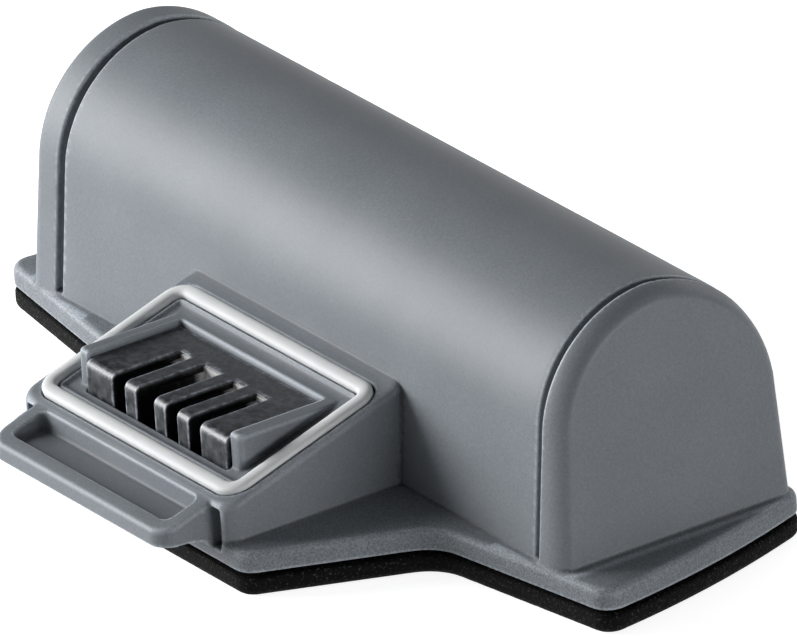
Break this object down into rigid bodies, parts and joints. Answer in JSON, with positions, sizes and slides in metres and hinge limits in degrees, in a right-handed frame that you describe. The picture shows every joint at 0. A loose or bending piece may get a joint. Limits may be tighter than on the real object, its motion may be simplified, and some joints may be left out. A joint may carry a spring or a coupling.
{
  "type": "window vacuum battery",
  "caption": "Clip-on battery pack for a hand-held window vacuum: a D-shaped housing on a flanged deck, with a sealed, keyed plug face and a catch tab at the front.",
  "frame": {"origin": "on the underside of the cover, straight below the middle of the cell", "axes": "+X along the cell towards its positive end, -Y towards the plug and tab, +Z from the cover up to the arch"},
  "size_m": [0.0882, 0.0469, 0.0261],
  "materials": {
    "grey_plastic": "finely textured mid-grey moulded plastic",
    "black_plastic": "black moulded plastic with a coarse spark-eroded edge",
    "seal_rubber": "pale grey soft seal",
    "insert_plastic": "near-black glass-filled plastic, slightly scuffed",
    "plated_contact": "bright tin-plated spring metal",
    "can_steel": "nickel-plated steel",
    "sleeve_film": "green shrink film",
    "fibre_paper": "white insulating paper",
    "nickel_strip": "rolled nickel strip",
    "red_insulation": "red silicone insulation",
    "black_insulation": "black silicone insulation",
    "board_laminate": "green solder resist on glass laminate",
    "chip_epoxy": "black moulded epoxy",
    "ceramic": "tan ceramic",
    "solder": "bright solder",
    "screw_steel": "zinc-plated steel",
    "foam": "dark closed-cell foam"
  },
  "bodies": {
    "pack": {"housing": "grey_plastic", "bottom_cover": "black_plastic", "seal": "seal_rubber", "plug_insert": "insert_plastic", "contact_1": "plated_contact", "contact_2": "plated_contact", "contact_3": "plated_contact", "contact_4": "plated_contact", "cell_can": "can_steel", "cell_sleeve": "sleeve_film", "cell_cap": "can_steel", "cell_insulating_ring": "fibre_paper", "positive_strip": "nickel_strip", "negative_strip": "nickel_strip", "positive_wire": "red_insulation", "negative_wire": "black_insulation", "circuit_board": "board_laminate", "protection_chip": "chip_epoxy", "power_switch_chips": "chip_epoxy", "chip_components": "ceramic", "solder_joints": "solder", "board_screws": "screw_steel", "thermistor": "chip_epoxy", "thermistor_leads": "solder", "positive_end_pad": "foam", "negative_end_pad": "foam", "top_foam_strip": "foam"},
    "spring_1": {"spring_cheek_1": "plated_contact"},
    "spring_2": {"spring_cheek_2": "plated_contact"},
    "spring_3": {"spring_cheek_3": "plated_contact"},
    "spring_4": {"spring_cheek_4": "plated_contact"}
  },
  "joints": [
    {"name": "spring_1_bend", "type": "hinge", "parent": "pack", "child": "spring_1", "pos_m": [-0.00517, -0.01943, 0.0088], "axis": [0, 0, 1], "range_deg": [0, 3], "stiffness_Nm_per_rad": 0.05},
    {"name": "spring_2_bend", "type": "hinge", "parent": "pack", "child": "spring_2", "pos_m": [-0.00082, -0.01943, 0.0088], "axis": [0, 0, 1], "range_deg": [0, 3], "stiffness_Nm_per_rad": 0.05},
    {"name": "spring_3_bend", "type": "hinge", "parent": "pack", "child": "spring_3", "pos_m": [0.00258, -0.01943, 0.0088], "axis": [0, 0, 1], "range_deg": [0, 3], "stiffness_Nm_per_rad": 0.05},
    {"name": "spring_4_bend", "type": "hinge", "parent": "pack", "child": "spring_4", "pos_m": [0.00598, -0.01943, 0.0088], "axis": [0, 0, 1], "range_deg": [0, 3], "stiffness_Nm_per_rad": 0.05}
  ]
}
